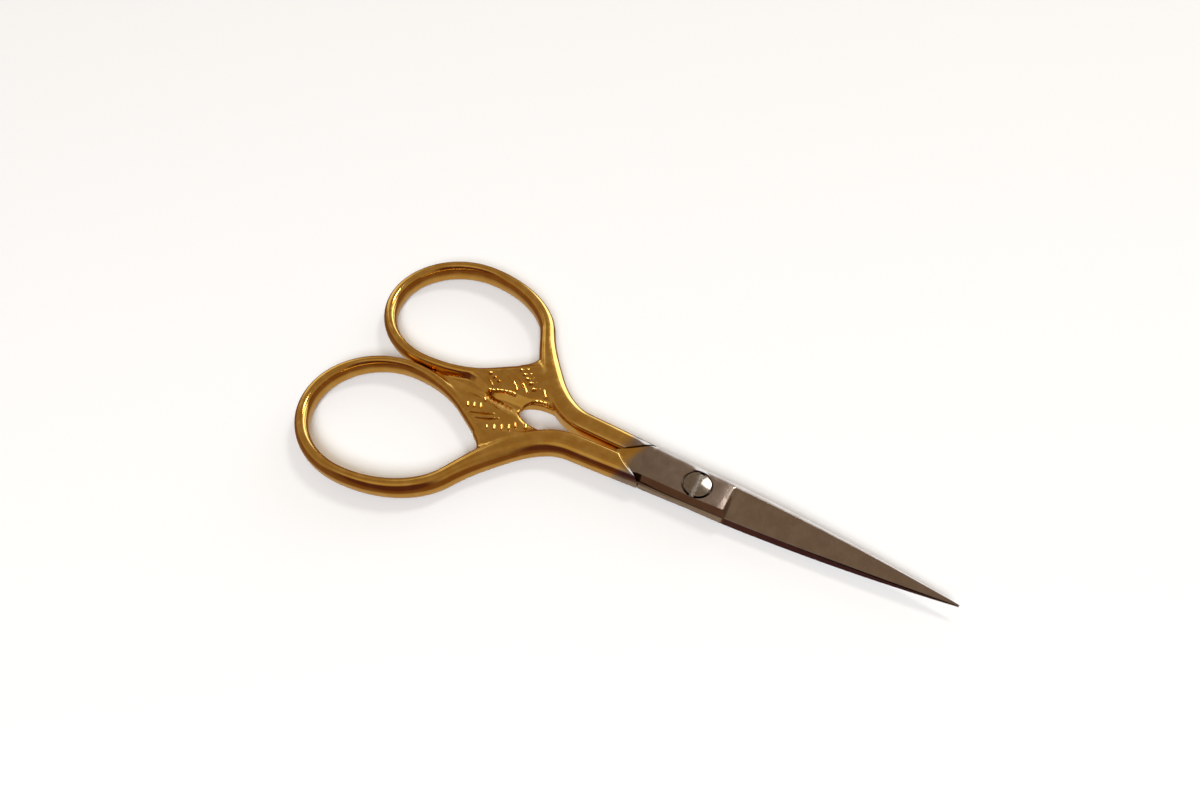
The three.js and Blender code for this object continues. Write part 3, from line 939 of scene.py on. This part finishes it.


# %% [markdown]
# ## Gilded steel
# The whole forging is polished steel, and the handle end was dipped in a gold bath. The gold ends in a soft,
# slanting edge on the pivot plate. Gold and steel are both metals, so one shader takes its colour and
# roughness from a mask along the length. Noise moves the edge and varies the polish, an occlusion node
# paints shade into the creases and hollows as a darker colour, and a fine bump gives the waves and the
# grinding marks that break up reflections on a real forging.


# %% Gilded steel
# Gold tones, and a darker painted shade colour for gold in creases and hollows.
GOLD_DEEP, GOLD_PALE, GOLD_PAINTED_SHADE = (0.80, 0.46, 0.10, 1), (0.88, 0.55, 0.15, 1), (0.6, 0.33, 0.03, 1)
STEEL_DEEP, STEEL_PALE = (0.365, 0.295, 0.253, 1), (0.425, 0.36, 0.318, 1)
# Painted shade colour for steel in creases and hollows.
STEEL_PAINTED_SHADE = (0.2, 0.17, 0.15, 1)
UPPER_GOLD_END, LOWER_GOLD_END = 11.5, 14.0


def gilded_steel(name, gold_end):
    f = Finish(bpy.data.materials.new(name))
    place = f.millimetres()
    x, y, z = f.parts(place)
    cloud = f.noise(place, 0.55, 3)
    waves = f.noise(place, 0.28, 1)
    grain = f.noise(place, 5, 4, (2.5, 0.12, 1))
    height = f.make("ShaderNodeMath", {"operation": "MAXIMUM"}, {0: z, 1: 0})
    past_gold = x + gold_end - height * 0.75 - y * 0.2 + (cloud - 0.5) * 2.2
    steel = f.ramp(past_gold, -0.9, 0.9)
    gold_colour = f.blend(f.ramp(cloud, 0.35, 0.7), GOLD_DEEP, GOLD_PALE)
    tarnish = f.ramp(grain * 0.4 + cloud * 0.6, 0.35, 0.65)
    steel_colour = f.blend(tarnish, STEEL_DEEP, STEEL_PALE)
    open_colour = f.blend(steel, gold_colour, steel_colour)
    # Painted shade: occluded creases and hollows get a darker colour, gold or steel by the mask.
    painted_shade_colour = f.blend(steel, GOLD_PAINTED_SHADE, STEEL_PAINTED_SHADE)
    colour = f.blend(f.ramp(f.occlusion_shade(0.0006), 0.3, 0.85), painted_shade_colour, open_colour)
    gold_rough = 0.11 + f.ramp(cloud, 0.3, 0.75) * 0.08
    steel_rough = 0.14 + f.ramp(grain, 0.25, 0.75) * 0.05
    rough = gold_rough + (steel_rough - gold_rough) * steel
    relief = waves * 1.2 + cloud * 0.25 + grain * steel * 0.004
    bump = f.make("ShaderNodeBump", {}, {"Strength": 0.35, "Distance": 0.0001, "Height": relief})
    return f.surface({"Base Color": colour, "Metallic": 1.0, "Roughness": rough, "Normal": bump})


upper_finish = gilded_steel("gilded_steel_upper", UPPER_GOLD_END)
lower_finish = gilded_steel("gilded_steel_lower", LOWER_GOLD_END)
print("gilded steel", len(upper_finish.node_tree.nodes), "nodes")

# %% [markdown]
# ## Screw steel
# The screw was turned on a lathe, so its head keeps faint rings around the axis, and a driver has scratched
# the slot's rims. The rings are a wave on the distance from the axis. An occlusion node paints shade into
# the screw's hollows as a darker colour.


# %% Screw steel
SCREW_DEEP, SCREW_PALE = (0.34, 0.31, 0.28, 1), (0.41, 0.38, 0.35, 1)
# Painted shade colour for the screw's hollows.
SCREW_PAINTED_SHADE = (0.1, 0.085, 0.075, 1)


def screw_steel(name):
    f = Finish(bpy.data.materials.new(name))
    place = f.millimetres()
    x, y = f.parts(place, 2)
    radius = f.make("ShaderNodeMath", {"operation": "SQRT"}, {0: x * x + y * y})
    rings = f.make("ShaderNodeMath", {"operation": "SINE"}, {0: radius * 40})
    cloud = f.noise(place, 1.2, 4)
    scratch = f.noise(place, 4, 3, (0.4, 3, 1))
    steel = f.blend(f.ramp(cloud, 0.3, 0.7), SCREW_DEEP, SCREW_PALE)
    # Painted shade: the slot and the gap round the head get a darker colour where they are occluded.
    colour = f.blend(f.ramp(f.occlusion_shade(0.0005), 0.3, 0.9), SCREW_PAINTED_SHADE, steel)
    rough = 0.11 + f.ramp(scratch, 0.35, 0.7) * 0.08
    relief = rings * 0.03 + scratch * 0.08 + cloud * 0.3
    bump = f.make("ShaderNodeBump", {}, {"Strength": 0.12, "Distance": 0.00004, "Height": relief})
    return f.surface({"Base Color": colour, "Metallic": 1.0, "Roughness": rough, "Normal": bump})


screw_finish = screw_steel("screw_steel_turned")
print("screw steel", len(screw_finish.node_tree.nodes), "nodes")

# %% [markdown]
# ## Bodies
# The upper forging swings on the hinge. The screw is fixed in the lower forging, so it rides with that one.
# Each piece stands in for the solid of the same form.

# %% Give each piece its finish and its body
for piece, finish in ((upper, upper_finish), (lower, lower_finish), (screw, screw_finish)):
    piece.data.materials.clear()
    piece.data.materials.append(finish)
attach(upper, "upper")
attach(lower, "lower")
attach(screw, "lower")
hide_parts("upper_half")
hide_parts("lower_half")
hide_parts("pivot_screw")
print("finishes", [m.name for m in bpy.data.materials if m.users])

# %% [markdown]
# ## Table and backdrop
# The table is plain and nearly white, like a sheet of matt paper, and a pale screen far around it closes the
# view from low sides. Both are left out of the metal's mirror images, so that its sides stay dark.

# %% Table
deselect()
bpy.ops.mesh.primitive_plane_add(size=3, location=(0, 0, 0))
table = bpy.context.object
table.name = "table"
paper = Finish(bpy.data.materials.new("table_paper"))
tone = paper.noise(paper.make("ShaderNodeTexCoord", {}, {}, 3), 3, 2)
pale = paper.blend(tone, (0.88, 0.88, 0.875, 1), (0.9, 0.9, 0.9, 1))
table.data.materials.append(paper.surface({"Base Color": pale, "Roughness": 0.9, "Specular IOR Level": 0.0}))
table.visible_glossy = False
print("table", tuple(table.dimensions))

# %% Backdrop
deselect()
bpy.ops.mesh.primitive_uv_sphere_add(segments=48, ring_count=24, radius=3)
backdrop = bpy.context.object
backdrop.name = "backdrop"
screen = Finish(bpy.data.materials.new("backdrop_screen"))
backdrop.data.materials.append(screen.surface({
    "Base Color": (0, 0, 0, 1), "Specular IOR Level": 0.0,
    "Emission Color": (0.86, 0.85, 0.83, 1), "Emission Strength": 1.0,
}))
backdrop.visible_glossy = backdrop.visible_diffuse = backdrop.visible_shadow = False
print("backdrop", tuple(backdrop.dimensions))

# %% [markdown]
# ## Lamps and room
# Polished metal shows its surroundings, so the light is chosen for what the scissors should mirror. A small
# lamp over the back draws the glints on the relief and the edges, and a wide one lights the table alone. The
# rest is a room painted by direction: warm and dim overhead, a bright window low at the back, two glows on
# the left, and a dark, reddish side in front.


# %% Lamps
def lamp(name, place, aim, size, power, colour):
    deselect()
    bpy.ops.object.light_add(type="AREA", location=place)
    light = bpy.context.object
    light.name = name
    light.data.shape = "RECTANGLE"
    light.data.size, light.data.size_y = size
    light.data.energy = power
    light.data.color = colour
    light.rotation_euler = (Vector(aim) - Vector(place)).to_track_quat("-Z", "Y").to_euler()
    print(name, size, "m", power, "W")
    return light


lamp("ceiling_lamp", (0.137, 0.736, 0.932), (0, 0, 0), (0.25, 0.25), 3.1, (1, 0.98, 0.95))
fill = lamp("table_light", (0.4, -0.8, 1.0), (0, 0, 0), (0.6, 0.6), 17.5, (0.89, 0.945, 1))
fill.visible_glossy = False

# %% Room overhead and below
room = Finish(bpy.data.worlds.new("room"))
scene.world = room.owner
to_right, to_back, to_top = room.parts(room.make("ShaderNodeTexCoord", {}, {}, 0))
sky = room.blend(room.ramp(to_top, 0.4, 0.9), (0.36, 0.28, 0.195, 1), (0.285, 0.21, 0.14, 1))
sky = room.blend(room.ramp(to_top, 0.9, 0.99), sky, (0.335, 0.25, 0.172, 1))
below = room.blend(room.ramp(to_top, -0.62, -0.8), (0.19, 0.1, 0.055, 1), (0.47, 0.39, 0.3, 1))
colour = room.blend(room.ramp(to_top, 0.0, 0.35), below, sky)
print("room", len(room.tree.nodes), "nodes")

# %% Bright and dark sides of the room
DARK_FRONT = (0.15, -0.92, 0.3), 28, 50, (0.095, 0.035, 0.038, 1)
BACK_WINDOW = (0.2, 0.97, 0.1), 16, 33, (2.05, 2.35, 2.6, 1)
LEFT_GLOW = (-0.86, 0.42, 0.28), 6, 17, (1.1, 1.1, 1.1, 1)
HIGH_LEFT_GLOW = (-0.66, 0.43, 0.62), 4, 11, (0.85, 0.82, 0.72, 1)
HIGH_FRONT_GLOW = (-0.15, -0.5, 0.85), 8, 28, (0.5, 0.42, 0.3, 1)
for middle, near, far, glow in (DARK_FRONT, BACK_WINDOW, LEFT_GLOW, HIGH_LEFT_GLOW, HIGH_FRONT_GLOW):
    a, b, c = Vector(middle).normalized()
    towards = to_right * a + to_back * b + to_top * c
    share = room.ramp(towards, math.cos(math.radians(far)), math.cos(math.radians(near)))
    colour = room.blend(share, colour, glow)
light = room.make("ShaderNodeBackground", {}, {"Color": colour, "Strength": 1.0})
room.make("ShaderNodeOutputWorld", {}, {"Surface": light})
scene.view_settings.view_transform = "Standard"
print("room", len(room.tree.nodes), "nodes")
